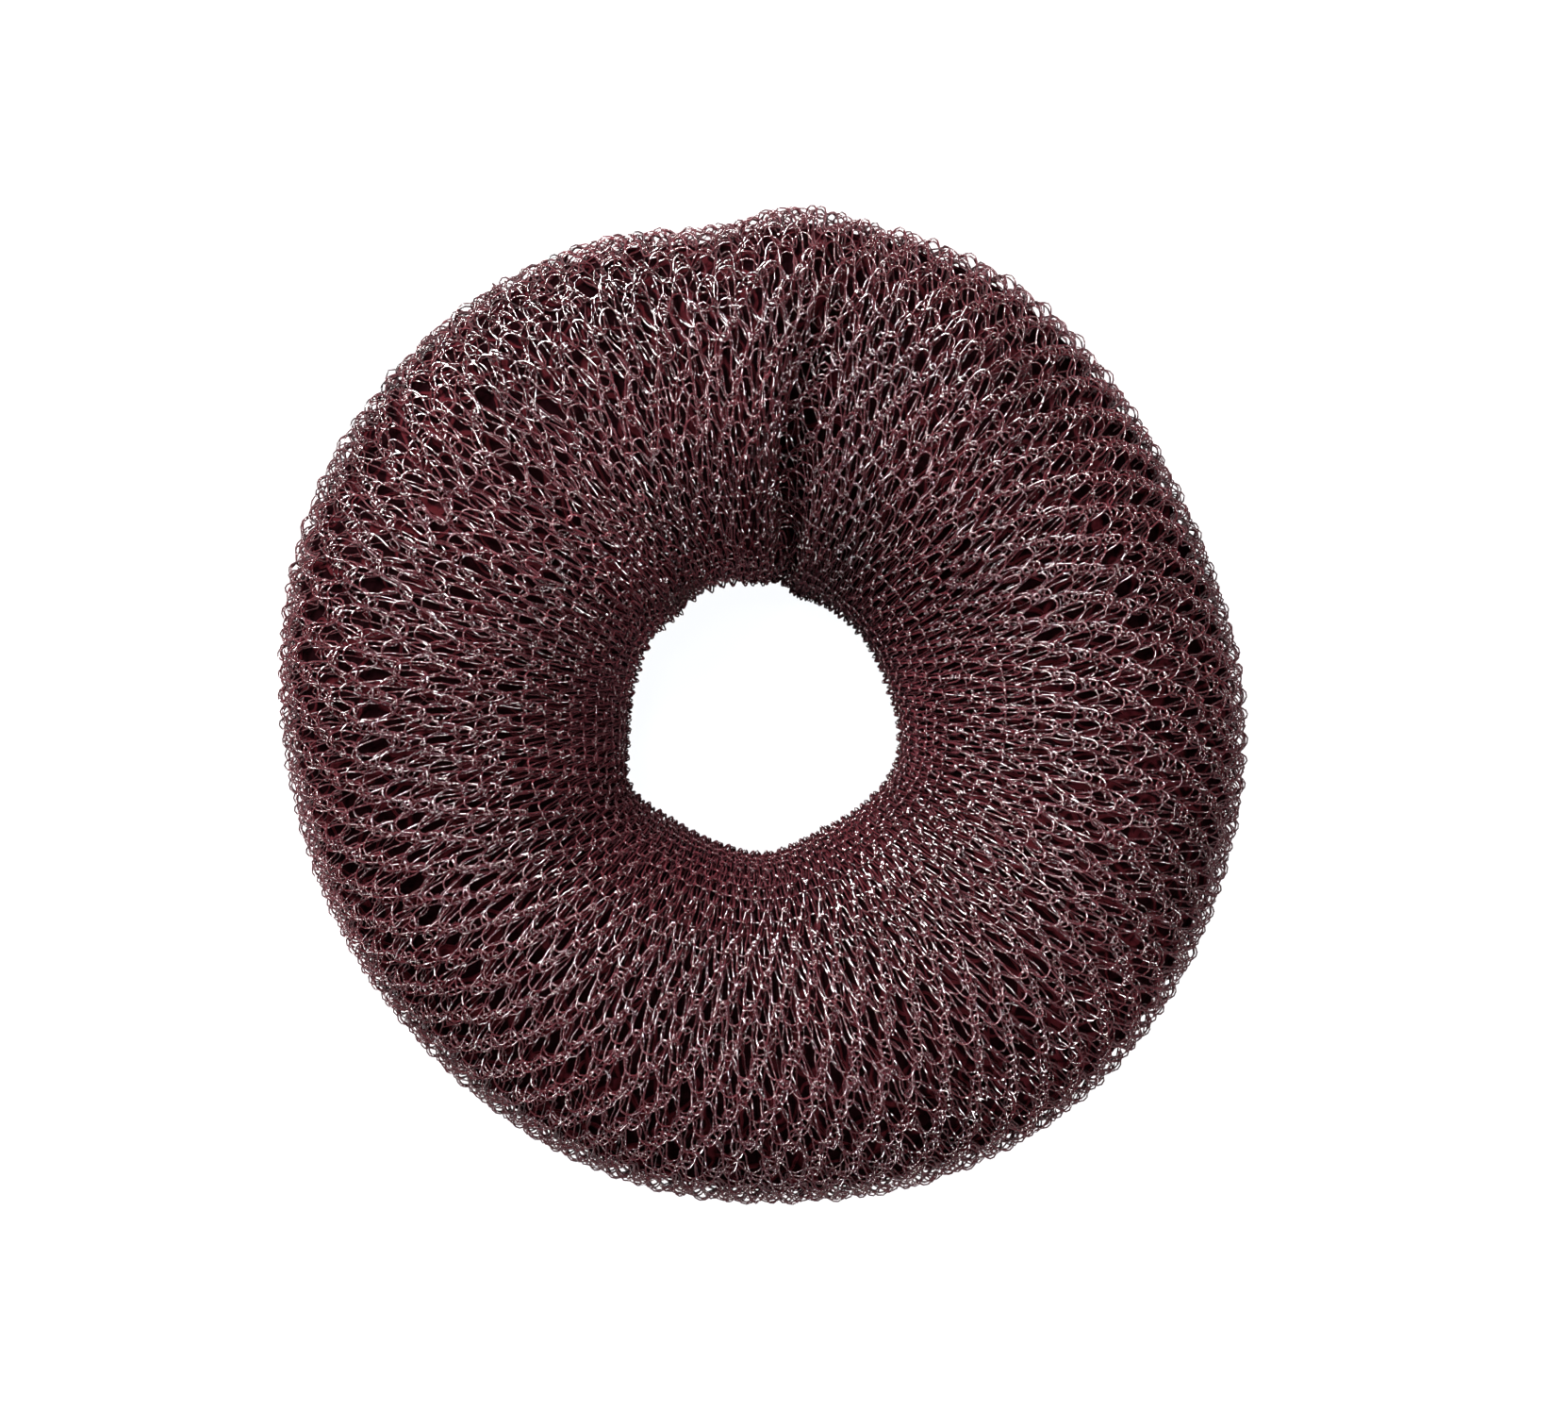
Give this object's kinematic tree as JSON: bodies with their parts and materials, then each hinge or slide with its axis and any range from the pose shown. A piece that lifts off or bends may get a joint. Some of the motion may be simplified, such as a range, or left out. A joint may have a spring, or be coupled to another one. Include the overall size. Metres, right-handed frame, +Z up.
{
  "type": "hair bun maker",
  "caption": "Soft ring of knitted nylon mesh rolled up on itself, with a round hole in the middle that a ponytail is drawn through to shape a bun.",
  "frame": {"origin": "on the ring's axis, in the plane that the ring rests on", "axes": "+Z up along the ring's axis, +Y towards the crease where the two ends of the mesh strip meet"},
  "size_m": [0.0888, 0.0921, 0.034],
  "materials": {
    "outer_mesh": "open knit of glossy burgundy nylon thread",
    "inner_mesh": "rolled layers of the same knit, darker where they lie deep"
  },
  "bodies": {
    "root": {"outer_turn": "outer_mesh", "inner_roll": "inner_mesh"}
  },
  "joints": []
}
